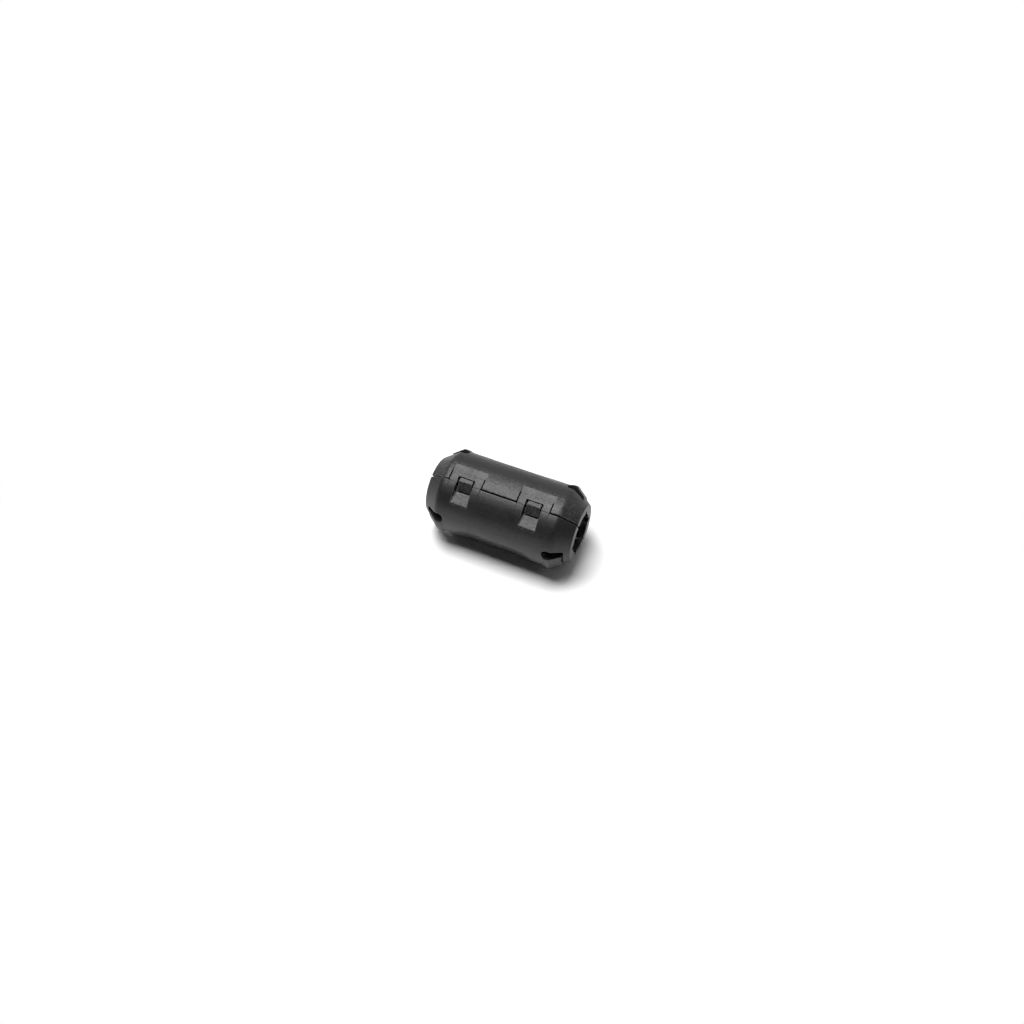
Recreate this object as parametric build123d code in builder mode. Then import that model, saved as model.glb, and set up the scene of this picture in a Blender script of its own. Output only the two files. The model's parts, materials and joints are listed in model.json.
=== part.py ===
from build123d import *

import os
from math import acos, cos, degrees, radians, sin

# Clip-on ferrite bead, in millimetres. It lies on a flat surface, on the wall of its case
# and on its hinge. X runs along the cable bore, Z is up, and the origin is the bore's centre.
os.makedirs("parts", exist_ok=True)

# Ferrite cores: two half rings that close round the cable
bore_radius = 4.5
core_radius = 8.1
core_length = 27.6
core_gap = 0.1  # between the mating faces of the two cores
core_chamfer = 0.4

# Moulded case: a barrel with a cone at each end
wall = 1.75
barrel_margin = 0.6  # from each end of the core to the shoulder of the barrel
cone_length = 4.0
end_radius = 6.9
cone_wall = 1.5
end_wall = 1.3
opening_radius = 4.75
shoulder_fillet = 2.0
rim_fillet = 0.35
core_clearance = 0.05
core_end_play = 0.1
seam_gap = 0.4
crown_flat_depth = 0.65
crown_flat_margin = 3.9  # from the shoulder of the barrel to each end of the flat
crown_flat_ramp = 4.0

# Hinge along the back of the case
hinge_radius = 1.25
hinge_running_clearance = 0.05
hinge_core_gap = 0.15
hinge_end_margin = 1.0
hinge_lip = 0.7  # height of the slot that keeps the seat from ending in a feather edge

# Latches: a loop on the lower case snaps over a hook on the upper case
latch_shift = -0.5  # of the pair, from the middle of the case
latch_margin = 1.975  # from a loop to the shoulder of the barrel, before that shift
loop_width = 7.85
loop_depth = 1.0
loop_top = 15.0  # degrees above the seam, round the barrel
loop_root = -17.5
window_width = 4.15
window_top = 8.3
window_bottom = -13.0
latch_clearance = 0.1  # behind the loop
notch_side_gap = 0.3
notch_top_gap = 0.6  # degrees
relief_top = 25.6
relief_depth = 0.45
hook_side_gap = 0.45
hook_top = 7.5
hook_land_bottom = 2.2
hook_bottom = -10.6
hook_depth = 0.9
hook_back_gap = 0.2
tip_thickness = 0.4
pocket_bottom = -29.0
pocket_depth = 1.2

# Spring tongues in each half, at both ends, with a lip that holds the core
tongue_half_angle = 30.0  # degrees from the crown of the half to the middle of a side slot
slot_lead = 1.9  # from the start of a slot to the shoulder of the barrel
slot_wide = 3.1
slot_narrow = 1.3
slot_fillet = 1.2
slit_width = 0.3
tongue_rise = 0.3
tongue_ramp = 1.0
lip_radius = 6.6
lip_thickness = 1.0
lip_half_angle = 18.0
rim_notch_radius = 0.75
embed = 0.3  # how far an added feature starts inside the wall that carries it

# Worked out from the sizes above
pocket_radius = core_radius + core_clearance
case_radius = pocket_radius + wall
pocket_length = core_length + 2 * core_end_play
barrel_length = core_length + 2 * barrel_margin
case_length = barrel_length + 2 * cone_length
cone_slope = (case_radius - end_radius) / cone_length
slot_start = barrel_length / 2 - slot_lead
latch_offset = barrel_length / 2 - latch_margin - loop_width / 2
latch_places = (latch_shift - latch_offset, latch_shift + latch_offset)
leg_width = (loop_width - window_width) / 2
tongue_end = case_length / 2 - end_wall - slit_width
notch_radius = case_radius - loop_depth - latch_clearance
hook_radius = notch_radius + hook_depth
hinge_offset = core_radius + core_clearance + hinge_core_gap + hinge_radius
hinge_length = barrel_length - 2 * hinge_end_margin
clear_radius = case_radius + tongue_rise + embed

# The case lies on its wall and on the hinge, so the hinge leans this far from straight down
lean = acos((case_radius - hinge_radius) / hinge_offset)
hinge_side = Vector(0, sin(lean), -cos(lean))
upper_crown = Vector(0, cos(lean), sin(lean))

HINGE, UPPER, LATCH, LOWER = 0, 90, 180, 270  # degrees round the bore, from the hinge


def section_at(x):
    """Plane across the bore: its x points at the hinge and its y at the upper crown."""
    return Plane(origin=(x, 0, 0), x_dir=hinge_side, z_dir=(1, 0, 0))


def outward(angle):
    """Direction from the bore's axis at an angle round the bore."""
    return hinge_side * cos(radians(angle)) + upper_crown * sin(radians(angle))


def profile_at(angle):
    """Plane through the bore's axis: its x runs along the bore and its y outward."""
    return Plane(origin=(0, 0, 0), x_dir=(1, 0, 0), z_dir=Vector(1, 0, 0).cross(outward(angle)))


def tangent_at(angle):
    """Plane on the bore's axis that faces outward at an angle."""
    return Plane(origin=(0, 0, 0), x_dir=(1, 0, 0), z_dir=outward(angle))


def ring_point(radius, angle):
    """Point in a section, at an angle round the bore from the hinge."""
    return (radius * cos(radians(angle)), radius * sin(radians(angle)))


def latch_point(radius, above):
    """Point in a section, at an angle above the latch seam."""
    return ring_point(radius, LATCH - above)


def ring_sector(inner, outer, low, high):
    """Face between two radii and two angles round the bore, drawn in the open sketch."""
    middle = (low + high) / 2
    with BuildLine() as outline:
        ThreePointArc(ring_point(inner, low), ring_point(inner, middle), ring_point(inner, high))
        Line(ring_point(inner, high), ring_point(outer, high))
        ThreePointArc(ring_point(outer, high), ring_point(outer, middle), ring_point(outer, low))
        Line(ring_point(outer, low), ring_point(inner, low))
    make_face(outline.edges())


def latch_sector(inner, outer, below, above):
    """Face between two radii and two angles above the latch seam."""
    ring_sector(inner, outer, LATCH - above, LATCH - below)


def cone_radius(x):
    """Outer radius of the end cone at a distance from the middle."""
    return case_radius - cone_slope * (abs(x) - barrel_length / 2)


def case_shell():
    """The whole case as one turned shell, before it is parted at the seam."""
    end = case_length / 2
    inner_end = end - end_wall
    with BuildPart() as shell:
        with BuildSketch(profile_at(UPPER)) as outline:
            with BuildLine():
                Polyline(
                    (-end, opening_radius),
                    (-end, end_radius),
                    (-barrel_length / 2, case_radius),
                    (barrel_length / 2, case_radius),
                    (end, end_radius),
                    (end, opening_radius),
                    (inner_end, opening_radius),
                    (inner_end, cone_radius(inner_end) - cone_wall),
                    (pocket_length / 2, pocket_radius),
                    (-pocket_length / 2, pocket_radius),
                    (-inner_end, cone_radius(inner_end) - cone_wall),
                    (-inner_end, opening_radius),
                    close=True,
                )
            make_face()
            fillet(outline.vertices().group_by(Axis.Y)[-1], shoulder_fillet)
            rims = outline.vertices().filter_by(lambda v: abs(abs(v.X) - end) < 0.01)
            fillet(rims.sort_by(lambda v: v.Y ** 2 + v.Z ** 2)[-2:], rim_fillet)
        revolve(axis=Axis.X)
    return shell.part


def cut_hinge_seat():
    """Round seat for the hinge along the whole seam, opened into the core pocket."""
    with BuildSketch(section_at(-case_length / 2)) as seat:
        with Locations((hinge_offset, 0)):
            Circle(hinge_radius + hinge_running_clearance)
    extrude(seat.sketch, amount=case_length, mode=Mode.SUBTRACT)
    with BuildSketch(section_at(-pocket_length / 2)) as seat_lip:
        with Locations((hinge_offset - hinge_radius, 0)):
            Rectangle(2 * hinge_lip, 2 * hinge_lip)
    extrude(seat_lip.sketch, amount=pocket_length, mode=Mode.SUBTRACT)


def tongue_profile(side):
    """Raised skin of one spring tongue, from its root on the barrel to its free end."""
    shoulder = barrel_length / 2
    with BuildLine() as outline:
        Polyline(
            (side * slot_start, case_radius - embed),
            (side * slot_start, case_radius),
            (side * (slot_start + tongue_ramp), case_radius + tongue_rise),
            (side * shoulder, case_radius + tongue_rise),
            (side * tongue_end, cone_radius(tongue_end) + tongue_rise),
            (side * tongue_end, cone_radius(tongue_end) - embed),
            (side * shoulder, case_radius - embed),
            close=True,
        )
    make_face(outline.edges())


def slot_outline(side):
    """Side slot of a tongue: wide and round on the barrel, narrow at the small end of the cone."""
    with BuildLine() as outline:
        Polyline(
            (side * slot_start, -slot_wide / 2),
            (side * slot_start, slot_wide / 2),
            (side * (tongue_end + slit_width), slot_narrow / 2),
            (side * (tongue_end + slit_width), -slot_narrow / 2),
            close=True,
        )
    make_face(outline.edges())


def shape_tongues(crown):
    """Spring tongue, its slots and its core lip, at both ends of the half with this crown."""
    for side in (-1, 1):
        with BuildSketch(profile_at(crown - tongue_half_angle)) as skin:
            tongue_profile(side)
        revolve(skin.sketch, axis=Axis.X, revolution_arc=2 * tongue_half_angle)
        lip_start = pocket_length / 2 if side > 0 else -pocket_length / 2 - lip_thickness
        with BuildSketch(section_at(lip_start)) as lip:
            ring_sector(lip_radius, pocket_radius + embed, crown - lip_half_angle, crown + lip_half_angle)
        extrude(lip.sketch, amount=lip_thickness)
    for side in (-1, 1):
        for angle in (crown - tongue_half_angle, crown + tongue_half_angle):
            with BuildSketch(tangent_at(angle).offset(opening_radius + embed)) as slot:
                slot_outline(side)
                fillet(slot.vertices().sort_by(lambda v: abs(v.X))[:2], slot_fillet)
            extrude(slot.sketch, amount=clear_radius - opening_radius, mode=Mode.SUBTRACT)
        slit_start = tongue_end if side > 0 else -tongue_end - slit_width
        with BuildSketch(section_at(slit_start)) as slit:
            low, high = crown - tongue_half_angle, crown + tongue_half_angle
            ring_sector(opening_radius + embed, clear_radius, low, high)
        extrude(slit.sketch, amount=slit_width, mode=Mode.SUBTRACT)


def cut_rim_notches(crown):
    """Round notches in the rim of both cable openings, in line with the side slots."""
    with BuildSketch(section_at(-case_length / 2)) as notches:
        for turn in (-tongue_half_angle, tongue_half_angle):
            with Locations(ring_point(opening_radius, crown + turn)):
                Circle(rim_notch_radius)
    extrude(notches.sketch, amount=case_length, mode=Mode.SUBTRACT)


def cut_crown_flat(crown):
    """Long flat on the crown of a half, which runs out over a ramp at each end."""
    flat_end = barrel_length / 2 - crown_flat_margin
    with BuildSketch(profile_at(crown)) as flat:
        with BuildLine():
            Polyline(
                (-flat_end, case_radius),
                (-flat_end + crown_flat_ramp, case_radius - crown_flat_depth),
                (flat_end - crown_flat_ramp, case_radius - crown_flat_depth),
                (flat_end, case_radius),
                (flat_end, clear_radius),
                (-flat_end, clear_radius),
                close=True,
            )
        make_face()
    extrude(flat.sketch, amount=case_radius, both=True, mode=Mode.SUBTRACT)


# Upper case: carries the hooks, in notches that take the loops
with BuildPart() as upper_case:
    add(case_shell())
    split(bisect_by=Plane(origin=upper_crown * (seam_gap / 2), z_dir=upper_crown), keep=Keep.TOP)
    cut_hinge_seat()
    shape_tongues(UPPER)
    cut_rim_notches(UPPER)
    cut_crown_flat(UPPER)
    notch_width = loop_width + 2 * notch_side_gap
    hook_width = window_width - 2 * hook_side_gap
    notch_top = loop_top + notch_top_gap
    for place in latch_places:
        with BuildSketch(section_at(place - notch_width / 2)):
            latch_sector(notch_radius, clear_radius, loop_root, notch_top)
        extrude(amount=notch_width, mode=Mode.SUBTRACT)
        with BuildSketch(section_at(place - notch_width / 2)):
            with BuildLine():
                Polyline(
                    latch_point(case_radius - relief_depth, notch_top),
                    latch_point(clear_radius, notch_top),
                    latch_point(clear_radius, relief_top),
                    latch_point(case_radius, relief_top),
                    close=True,
                )
            make_face()
        extrude(amount=notch_width, mode=Mode.SUBTRACT)
        with BuildSketch(section_at(place - hook_width / 2)):
            with BuildLine():
                Polyline(
                    latch_point(pocket_radius + hook_back_gap, hook_top),
                    latch_point(hook_radius, hook_top),
                    latch_point(hook_radius, hook_land_bottom),
                    latch_point(pocket_radius + hook_back_gap + tip_thickness, hook_bottom),
                    latch_point(pocket_radius + hook_back_gap, hook_bottom),
                )
                ThreePointArc(
                    latch_point(pocket_radius + hook_back_gap, hook_bottom),
                    latch_point(pocket_radius + hook_back_gap, (hook_top + hook_bottom) / 2),
                    latch_point(pocket_radius + hook_back_gap, hook_top),
                )
            make_face()
        extrude(amount=hook_width)
upper_case.part.label = "upper_case"
export_step(upper_case.part, "parts/upper_case.step")

# Lower case: takes the roots of the loops, and the tips of the hooks below the seam
with BuildPart() as lower_case:
    add(case_shell())
    split(bisect_by=Plane(origin=upper_crown * (-seam_gap / 2), z_dir=upper_crown), keep=Keep.BOTTOM)
    cut_hinge_seat()
    shape_tongues(LOWER)
    cut_rim_notches(LOWER)
    cut_crown_flat(LOWER)
    for place in latch_places:
        for leg_start in (place - loop_width / 2, place + window_width / 2):
            with BuildSketch(section_at(leg_start)):
                latch_sector(notch_radius, clear_radius, loop_root, loop_top)
            extrude(amount=leg_width, mode=Mode.SUBTRACT)
        with BuildSketch(section_at(place - window_width / 2)):
            latch_sector(core_radius - embed, clear_radius, window_bottom, loop_top)
        extrude(amount=window_width, mode=Mode.SUBTRACT)
        with BuildSketch(section_at(place - window_width / 2)):
            with BuildLine():
                Polyline(
                    latch_point(case_radius - pocket_depth, window_bottom),
                    latch_point(clear_radius, window_bottom),
                    latch_point(clear_radius, pocket_bottom),
                    latch_point(case_radius, pocket_bottom),
                    close=True,
                )
            make_face()
        extrude(amount=window_width, mode=Mode.SUBTRACT)
lower_case.part.label = "lower_case"
export_step(lower_case.part, "parts/lower_case.step")

# Latch loops: two legs and a bar, which turn outward about the outer edge of their root
for loop_name, place in zip(("left_latch_loop", "right_latch_loop"), latch_places):
    with BuildPart() as latch_loop:
        with BuildSketch(section_at(place - loop_width / 2)):
            latch_sector(case_radius - loop_depth, case_radius, loop_root, loop_top)
        extrude(amount=loop_width)
        with BuildSketch(section_at(place - window_width / 2)):
            latch_sector(pocket_radius, clear_radius, loop_root - notch_top_gap, window_top)
        extrude(amount=window_width, mode=Mode.SUBTRACT)
    latch_loop.part.label = loop_name
    export_step(latch_loop.part, f"parts/{loop_name}.step")

# Hinge: a slim round bead along the hinge axis, which both halves turn on
with BuildPart() as hinge_bead:
    with BuildSketch(section_at(-hinge_length / 2)):
        with Locations((hinge_offset, 0)):
            Circle(hinge_radius)
    extrude(amount=hinge_length)
hinge_bead.part.label = "hinge_bead"
export_step(hinge_bead.part, "parts/hinge_bead.step")

# Ferrite cores: equal half rings on each side of the seam
for core_name, crown in (("upper_core", UPPER), ("lower_core", LOWER)):
    with BuildPart() as core:
        with BuildSketch(section_at(-core_length / 2)):
            Circle(core_radius)
            Circle(bore_radius, mode=Mode.SUBTRACT)
        extrude(amount=core_length)
        chamfer(core.edges().filter_by(GeomType.CIRCLE), core_chamfer)
        split(bisect_by=Plane(origin=outward(crown) * (core_gap / 2), z_dir=outward(crown)), keep=Keep.TOP)
    core.part.label = core_name
    export_step(core.part, f"parts/{core_name}.step")

hinge_place = hinge_side * hinge_offset
root_place = hinge_side * -(case_radius * cos(radians(loop_root))) + upper_crown * (
    case_radius * sin(radians(loop_root))
)
print("hinge axis passes through", hinge_place)
print("loop axes pass through", root_place, "at x", latch_places)
print("hinge leans", degrees(lean), "degrees from straight down")
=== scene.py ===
import json
import math

import bpy
from bpy.props import FloatProperty, FloatVectorProperty, PointerProperty
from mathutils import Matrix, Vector


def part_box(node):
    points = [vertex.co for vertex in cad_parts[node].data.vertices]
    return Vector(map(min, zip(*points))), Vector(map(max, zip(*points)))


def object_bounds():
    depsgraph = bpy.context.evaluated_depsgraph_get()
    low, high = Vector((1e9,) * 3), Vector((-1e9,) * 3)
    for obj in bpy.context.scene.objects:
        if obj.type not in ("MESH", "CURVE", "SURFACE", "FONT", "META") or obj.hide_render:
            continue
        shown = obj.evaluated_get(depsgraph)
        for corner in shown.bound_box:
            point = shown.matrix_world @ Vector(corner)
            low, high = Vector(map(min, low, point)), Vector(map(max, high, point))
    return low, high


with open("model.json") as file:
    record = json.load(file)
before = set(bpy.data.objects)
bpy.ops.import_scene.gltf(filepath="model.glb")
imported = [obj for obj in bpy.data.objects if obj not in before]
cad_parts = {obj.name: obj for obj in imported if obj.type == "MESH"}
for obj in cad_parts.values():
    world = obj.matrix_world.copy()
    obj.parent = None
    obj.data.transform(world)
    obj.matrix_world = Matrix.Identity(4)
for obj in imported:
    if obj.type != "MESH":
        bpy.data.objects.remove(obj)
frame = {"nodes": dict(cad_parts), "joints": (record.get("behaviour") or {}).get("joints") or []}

bl_info = {
    "name": "Clip-on Ferrite Bead",
    "version": (1, 0, 0),
    "blender": (4, 5, 0),
    "location": "View3D > Sidebar > Ferrite Bead",
    "description": "Finishes a clip-on ferrite bead and sets up its studio stage",
    "category": "Object",
}

MM = 0.001
CAD_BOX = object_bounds()
FLOOR_Z = CAD_BOX[0].z

# The hinge axis leans back from straight down, and the latch seam lies straight across from it.
PIVOT = {joint["name"]: Vector(joint["pos_m"]) for joint in frame["joints"]}
HINGE_OUT = Vector((0, *PIVOT["case_hinge"].yz)).normalized()
SEAM_OUT = -HINGE_OUT
CROWN_OUT = Vector((0, -HINGE_OUT.z, HINGE_OUT.y))

# Places on the case, in millimetres from the bore's axis and from the middle of its length
CASE_RADIUS = -FLOOR_Z / MM
CROWN_FLAT_DEPTH = 0.65
CROWN_FLAT = CASE_RADIUS - CROWN_FLAT_DEPTH
LOOPS = [(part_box(name)[0].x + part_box(name)[1].x) / 2 / MM for name in ("left_latch_loop", "right_latch_loop")]
LOOP_ROOT = PIVOT["left_latch_flex"].dot(CROWN_OUT) / MM

# Stage, in metres: the floor shows only the light on it within BARE_FLOOR, and plain white past WHITE_FLOOR
CENTRE = Vector((1.06, -0.19, -0.66)) * MM
FLOOR_REACH = 3.0
BARE_FLOOR = 0.05
WHITE_FLOOR = 0.13
LAMP_PLACE = Vector((-0.08, 0.01, 0.38))
LAMP_SIZE = 0.21
LAMP_WATTS = 2.2

# Strength of the world's light from in front of the bead and from behind it
FRONT_LIGHT = 0.04
BACK_LIGHT = 0.60


# ---------------------------------------------------------------- settings


class FerriteCaseSettings(bpy.types.PropertyGroup):
    """Finish of the moulded nylon case"""

    colour: FloatVectorProperty(
        name="Case colour",
        description="Colour of the moulded nylon",
        default=(0.0090, 0.0090, 0.0096),
        subtype="COLOR",
        min=0,
        max=1,
    )
    roughness: FloatProperty(
        name="Roughness",
        description="How matt the moulded skin is",
        default=0.45,
        min=0,
        max=1,
        subtype="FACTOR",
    )
    grain: FloatProperty(
        name="Grain size",
        description="Size of the grain that the mould leaves on the skin",
        default=0.42 * MM,
        unit="LENGTH",
        precision=6,
    )
    grain_depth: FloatProperty(
        name="Grain depth",
        description="Depth of the grain on the skin",
        default=0.085 * MM,
        unit="LENGTH",
        precision=6,
    )


class FerriteCoreSettings(bpy.types.PropertyGroup):
    """Finish of the sintered ferrite cores"""

    colour: FloatVectorProperty(
        name="Core colour",
        description="Colour of the sintered ferrite",
        default=(0.062, 0.061, 0.064),
        subtype="COLOR",
        min=0,
        max=1,
    )
    grain: FloatProperty(
        name="Grain size",
        description="Size of the pits in the fired skin",
        default=0.12 * MM,
        unit="LENGTH",
        precision=6,
    )


class FerriteStageSettings(bpy.types.PropertyGroup):
    """Camera"""

    azimuth: FloatProperty(
        name="Camera azimuth",
        description="Turn of the camera round the bead",
        default=math.radians(23.9),
        subtype="ANGLE",
    )
    elevation: FloatProperty(
        name="Camera elevation",
        description="Height of the camera above the floor, as an angle",
        default=math.radians(51.0),
        subtype="ANGLE",
    )
    distance: FloatProperty(
        name="Camera distance",
        description="Distance from the camera to the bead",
        default=229.8 * MM,
        unit="LENGTH",
    )
    lens: FloatProperty(
        name="Lens",
        description="Focal length of the camera",
        default=34.1,
        unit="CAMERA",
    )


# ---------------------------------------------------------------- shader maths


class Wire:
    """A value or link in a shader, so that its maths reads as an expression"""

    def __init__(self, shader, socket):
        self.shader = shader
        self.socket = socket

    def maths(self, operation, *others):
        return self.shader.node("ShaderNodeMath", {"operation": operation}, (self, *others))

    def __add__(self, other):
        return self.maths("ADD", other)

    def __sub__(self, other):
        return self.maths("SUBTRACT", other)

    def __rsub__(self, other):
        return self.shader.node("ShaderNodeMath", {"operation": "SUBTRACT"}, (other, self))

    def __mul__(self, other):
        return self.maths("MULTIPLY", other)

    def __abs__(self):
        return self.maths("ABSOLUTE")

    __radd__ = __add__

    def high(self, other):
        """The higher of two values"""
        return self.maths("MAXIMUM", other)

    def between(self, start, end):
        """0 before start, 1 after end, and smooth in between"""
        return self.shader.node(
            "ShaderNodeMapRange",
            {"interpolation_type": "SMOOTHSTEP"},
            {"Value": self, "From Min": start, "From Max": end},
            "Result",
        )


class Shader:
    """Nodes of one material or world"""

    def __init__(self, owner):
        owner.use_nodes = True
        self.owner = owner
        self.tree = owner.node_tree
        self.tree.nodes.clear()

    def node(self, kind, settings=None, inputs=(), output=0):
        """Add one node with its settings, its inputs by name or order, and one output as a Wire"""
        made = self.tree.nodes.new(kind)
        for key, value in (settings or {}).items():
            setattr(made, key, value)
        pairs = inputs.items() if isinstance(inputs, dict) else enumerate(inputs)
        for key, value in pairs:
            if isinstance(value, Wire):
                self.tree.links.new(value.socket, made.inputs[key])
            else:
                made.inputs[key].default_value = value
        return Wire(self, made.outputs[output]) if made.outputs else None

    def place(self):
        """Where the point is on the object, in metres"""
        return self.node("ShaderNodeTexCoord", output="Object")

    def dot(self, first, second):
        """Dot product of two directions"""
        return self.node("ShaderNodeVectorMath", {"operation": "DOT_PRODUCT"}, (first, second), "Value")

    def along(self, direction):
        """Distance of the point along a direction, in millimetres"""
        return self.dot(self.place(), tuple(part / MM for part in direction))

    def place_in(self, size, stretch, seed):
        """The point counted in steps of size metres, moved by seed"""
        scale = tuple(part / size for part in stretch)
        inputs = {"Vector": self.place(), "Scale": scale, "Location": (seed, seed, seed)}
        return self.node("ShaderNodeMapping", {}, inputs)

    def noise(self, size, detail=3.0, roughness=0.55, stretch=(1, 1, 1), seed=0.0):
        """Noise from 0 to 1 whose features are about size metres across"""
        point = self.place_in(size, stretch, seed)
        inputs = {"Vector": point, "Scale": 1.0, "Detail": detail, "Roughness": roughness}
        return self.node("ShaderNodeTexNoise", {}, inputs)

    def cells(self, size, seed=0.0):
        """Distance to the nearest of many scattered points, about size metres apart"""
        point = self.place_in(size, (1, 1, 1), seed)
        return self.node("ShaderNodeTexVoronoi", {}, {"Vector": point, "Scale": 1.0})

    def blend(self, factor, first, second):
        """Mix of two colours"""
        return self.node("ShaderNodeMix", {"data_type": "RGBA"}, {"Factor": factor, 6: first, 7: second}, 2)

    def bump(self, height, depth, under):
        """Normal for a height from 0 to 1 that stands depth metres tall on another normal"""
        return self.node("ShaderNodeBump", {}, {"Height": height, "Distance": depth, "Normal": under})

    def soft_edges(self, radius):
        """Normal that rounds the edges by a radius"""
        return self.node("ShaderNodeBevel", {"samples": 8}, {"Radius": radius})

    def own_normal(self):
        """Normal of the surface as it is"""
        return self.node("ShaderNodeNewGeometry", output="Normal")

    def facing(self, direction):
        """Normal that stays one way on the piece, however the piece turns"""
        return self.node(
            "ShaderNodeVectorTransform",
            {"vector_type": "NORMAL", "convert_from": "OBJECT", "convert_to": "WORLD"},
            (tuple(direction),),
        )

    def edge(self, radius):
        """0 on open surfaces, rising to 1 where the surface turns sharply within a radius"""
        agree = self.dot(self.soft_edges(radius), self.own_normal())
        return (1 - agree).between(0.01, 0.12)

    def turn(self, factor, first, second):
        """Mix of two normals"""
        return self.node("ShaderNodeMix", {"data_type": "VECTOR"}, {"Factor": factor, 4: first, 5: second}, 1)

    def finish(self, **inputs):
        """Principled shader and output, with inputs by their socket's name"""
        named = {key.replace("_", " ").title(): value for key, value in inputs.items()}
        surface = self.node("ShaderNodeBsdfPrincipled", {}, named)
        self.node("ShaderNodeOutputMaterial", {}, {"Surface": surface})
        return self.owner


def shade(colour, factor):
    """A colour made lighter or darker by a factor, and opaque"""
    return (*(min(1.0, part * factor) for part in colour), 1.0)


def give(node, material):
    """Put one material on a CAD node"""
    slots = frame["nodes"][node].data.materials
    slots.clear()
    slots.append(material)


# ---------------------------------------------------------------- finishes


def band(value, middle, reach, soft=0.15):
    """1 within reach of the middle and 0 outside, with soft ends"""
    return 1 - abs(value - middle).between(reach, reach + soft)


def latch_grain(s):
    """1 where the mould is eroded more coarsely: round the latches and in the pockets below them"""
    height = s.along(CROWN_OUT)
    front = s.along(SEAM_OUT).between(0.4 * CASE_RADIUS, 0.6 * CASE_RADIUS)
    upper = band(height, 1.8, 2.6, 1.2) * height.between(-0.2, 0.1)
    along_bore = s.along((1, 0, 0))
    pockets = band(along_bore, LOOPS[0], 2.2).high(band(along_bore, LOOPS[1], 2.2)) * band(height, -1.2, 3.9)
    return upper.high(pockets) * front


EDGE_RADIUS = 0.22 * MM  # how far the rounding and the painted edge highlight, partly wear, reach from an edge


def moulded_nylon(settings):
    """Black moulded nylon with a spark-eroded grain, coarser by the latches"""
    s = Shader(bpy.data.materials.new("case_nylon"))
    coarse = latch_grain(s)
    blotch = s.noise(4.5 * MM, detail=2.0)
    flow = s.noise(0.9 * MM, detail=2.0, stretch=(0.25, 1, 1), seed=3.1)
    grain = s.noise(settings.grain, detail=3.0, roughness=0.6)
    pits = s.cells(settings.grain * 1.5, seed=1.7)
    speck = (grain * 0.55 + pits * 0.45).between(0.38, 0.62)
    skin = grain * (0.30 + coarse * 0.35) + pits * (0.10 + coarse * 0.40)
    height = s.along(CROWN_OUT)
    root_line = band(height, LOOP_ROOT, 0.25)
    moulded = s.blend(
        speck * (0.25 + coarse * 0.75) * 0.8 + blotch * 0.2,
        shade(settings.colour, 0.5),
        shade(settings.colour, 3.0),
    )
    # Lighter colour along the edges: mostly a painted highlight where the edges catch the lamp, partly rubbed wear
    edge_wear_and_highlight = s.edge(EDGE_RADIUS) * (0.35 + speck * 0.65) * (0.35 + coarse * 0.65) * (1 - root_line)
    colour = s.blend(edge_wear_and_highlight, moulded, shade(settings.colour, 16.0))
    rough = settings.roughness + (blotch - 0.5) * 0.16 + (flow - 0.5) * 0.08 + coarse * 0.05
    rounded = s.turn(root_line, s.soft_edges(EDGE_RADIUS), s.own_normal())
    for side in (1, -1):
        rounded = s.turn(band(height, side * CROWN_FLAT, 0.01, 0.01), rounded, s.facing(side * CROWN_OUT))
    normal = s.bump(skin, settings.grain_depth, s.bump(flow, 0.006 * MM, rounded))
    return s.finish(base_color=colour, roughness=rough, normal=normal)


def sintered_ferrite(settings):
    """Dark fired ferrite, finely pitted, with mating faces that are ground flat and lighter"""
    s = Shader(bpy.data.materials.new("sintered_ferrite"))
    cloud = s.noise(2.4 * MM, detail=3.0)
    pits = s.cells(settings.grain)
    grain = s.noise(settings.grain, detail=4.0)
    ground = 1 - abs(s.along(CROWN_OUT)).between(0.055, 0.075)
    lines = s.noise(0.10 * MM, detail=1.0, stretch=(0.04, 1, 1), seed=5.0)
    fired = s.blend(cloud.between(0.35, 0.65), shade(settings.colour, 0.8), shade(settings.colour, 1.2))
    colour = s.blend(ground, fired, shade(settings.colour, 1.9))
    rough = (0.56 + (cloud - 0.5) * 0.2) * (1 - ground) + (0.28 + lines * 0.16) * ground
    height = (grain * 0.6 + pits * 0.4) * (1 - ground) + lines * ground * 0.35
    normal = s.bump(height, 0.014 * MM, s.soft_edges(0.10 * MM))
    return s.finish(base_color=colour, roughness=rough, normal=normal)


def white_floor():
    """White floor that keeps the bead's shadow and is seen as plain white further out"""
    s = Shader(bpy.data.materials.new("white_floor"))
    distance = s.node("ShaderNodeVectorMath", {"operation": "LENGTH"}, (s.place(),), "Value")
    seen = s.node("ShaderNodeLightPath", output="Is Camera Ray")
    surface = s.node("ShaderNodeBsdfPrincipled", {}, {"Base Color": (0.94, 0.94, 0.94, 1), "Roughness": 0.55})
    white = s.node("ShaderNodeEmission", {}, {"Color": (1, 1, 1, 1), "Strength": 1.0})
    mixed = s.node("ShaderNodeMixShader", {}, (distance.between(BARE_FLOOR, WHITE_FLOOR) * seen, surface, white))
    s.node("ShaderNodeOutputMaterial", {}, {"Surface": mixed})
    return s.owner


# ---------------------------------------------------------------- pieces


class FERRITE_OT_case(bpy.types.Operator):
    """Finish both case halves, the latch loops and the hinge in moulded nylon"""

    bl_idname = "ferrite.case"
    bl_label = "Case"

    def execute(self, context):
        skin = moulded_nylon(context.scene.ferrite_case)
        for node in ("upper_case", "lower_case", "left_latch_loop", "right_latch_loop", "hinge_bead"):
            give(node, skin)
        return {"FINISHED"}


class FERRITE_OT_cores(bpy.types.Operator):
    """Finish the two ferrite half rings"""

    bl_idname = "ferrite.cores"
    bl_label = "Cores"

    def execute(self, context):
        ferrite = sintered_ferrite(context.scene.ferrite_core)
        for node in ("upper_core", "lower_core"):
            give(node, ferrite)
        return {"FINISHED"}


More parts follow.
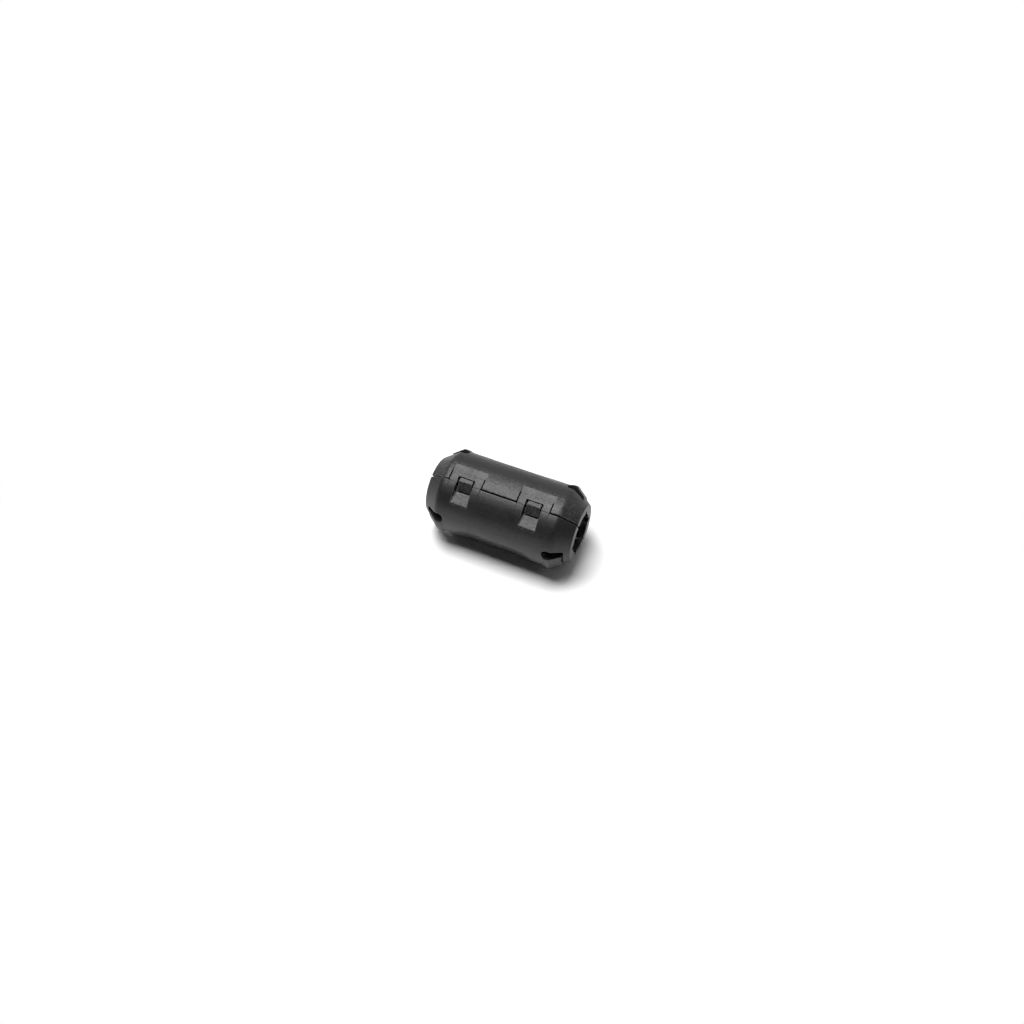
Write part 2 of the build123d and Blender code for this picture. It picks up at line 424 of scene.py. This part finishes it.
def add(context, name, data, place=(0, 0, 0), out=None):
    """Add an object to the scene, turned so that its back faces the direction out"""
    made = bpy.data.objects.new(name, data)
    made.location = place
    if out is not None:
        made.rotation_mode = "QUATERNION"
        made.rotation_quaternion = (-out).to_track_quat("-Z", "Y")
    context.scene.collection.objects.link(made)
    return made


def studio_world(world):
    """World that is seen as white, and lights the bead from behind more than from the front"""
    s = Shader(world)
    behind = s.dot(s.node("ShaderNodeTexCoord", output="Generated"), (0, 1, 0))
    seen = s.node("ShaderNodeLightPath", output="Is Camera Ray")
    light = FRONT_LIGHT + behind.between(0.0, 0.6) * (BACK_LIGHT - FRONT_LIGHT)
    background = s.node("ShaderNodeBackground", {}, {"Color": (1, 1, 1, 1), "Strength": light.high(seen)})
    s.node("ShaderNodeOutputWorld", {}, {"Surface": background})


class FERRITE_OT_stage(bpy.types.Operator):
    """Set the floor, the lamp, the world and the camera"""

    bl_idname = "ferrite.stage"
    bl_label = "Stage"

    def execute(self, context):
        scene = context.scene
        stage = scene.ferrite_stage
        scene.view_settings.view_transform = "Standard"

        mesh = bpy.data.meshes.new("floor")
        corners = [(x * FLOOR_REACH, y * FLOOR_REACH, FLOOR_Z) for x, y in ((-1, -1), (1, -1), (1, 1), (-1, 1))]
        mesh.from_pydata(corners, [], [(0, 1, 2, 3)])
        mesh.materials.append(white_floor())
        floor = add(context, "floor", mesh)

        scene.world = bpy.data.worlds.new("studio")
        studio_world(scene.world)
        lamp = bpy.data.lights.new("overhead_lamp", "AREA")
        lamp.shape = "SQUARE"
        lamp.size = LAMP_SIZE
        lamp.energy = LAMP_WATTS
        add(context, "overhead_lamp", lamp, LAMP_PLACE, LAMP_PLACE)

        camera = bpy.data.cameras.new("camera")
        camera.lens = stage.lens
        camera.clip_start = 10 * MM
        camera.clip_end = 10
        level = math.cos(stage.elevation)
        out = Vector((math.sin(stage.azimuth) * level, -math.cos(stage.azimuth) * level, math.sin(stage.elevation)))
        scene.camera = add(context, "camera", camera, CENTRE + out * stage.distance, out)
        return {"FINISHED"}


class FERRITE_PT_panel(bpy.types.Panel):
    """Buttons and settings of the ferrite bead"""

    bl_label = "Ferrite Bead"
    bl_idname = "FERRITE_PT_panel"
    bl_space_type = "VIEW_3D"
    bl_region_type = "UI"
    bl_category = "Ferrite Bead"

    def draw(self, context):
        scene = context.scene
        for settings, operator in (
            (scene.ferrite_case, "ferrite.case"),
            (scene.ferrite_core, "ferrite.cores"),
            (scene.ferrite_stage, "ferrite.stage"),
        ):
            box = self.layout.box()
            for key in settings.__annotations__:
                box.prop(settings, key)
            box.operator(operator)


CLASSES = (
    FerriteCaseSettings,
    FerriteCoreSettings,
    FerriteStageSettings,
    FERRITE_OT_case,
    FERRITE_OT_cores,
    FERRITE_OT_stage,
    FERRITE_PT_panel,
)


def register():
    for cls in CLASSES:
        bpy.utils.register_class(cls)
    bpy.types.Scene.ferrite_case = PointerProperty(type=FerriteCaseSettings)
    bpy.types.Scene.ferrite_core = PointerProperty(type=FerriteCoreSettings)
    bpy.types.Scene.ferrite_stage = PointerProperty(type=FerriteStageSettings)


def unregister():
    del bpy.types.Scene.ferrite_stage
    del bpy.types.Scene.ferrite_core
    del bpy.types.Scene.ferrite_case
    for cls in reversed(CLASSES):
        bpy.utils.unregister_class(cls)


def main():
    register()
    bpy.ops.ferrite.stage()
    bpy.ops.ferrite.case()
    bpy.ops.ferrite.cores()


if __name__ == "__main__":
    main()
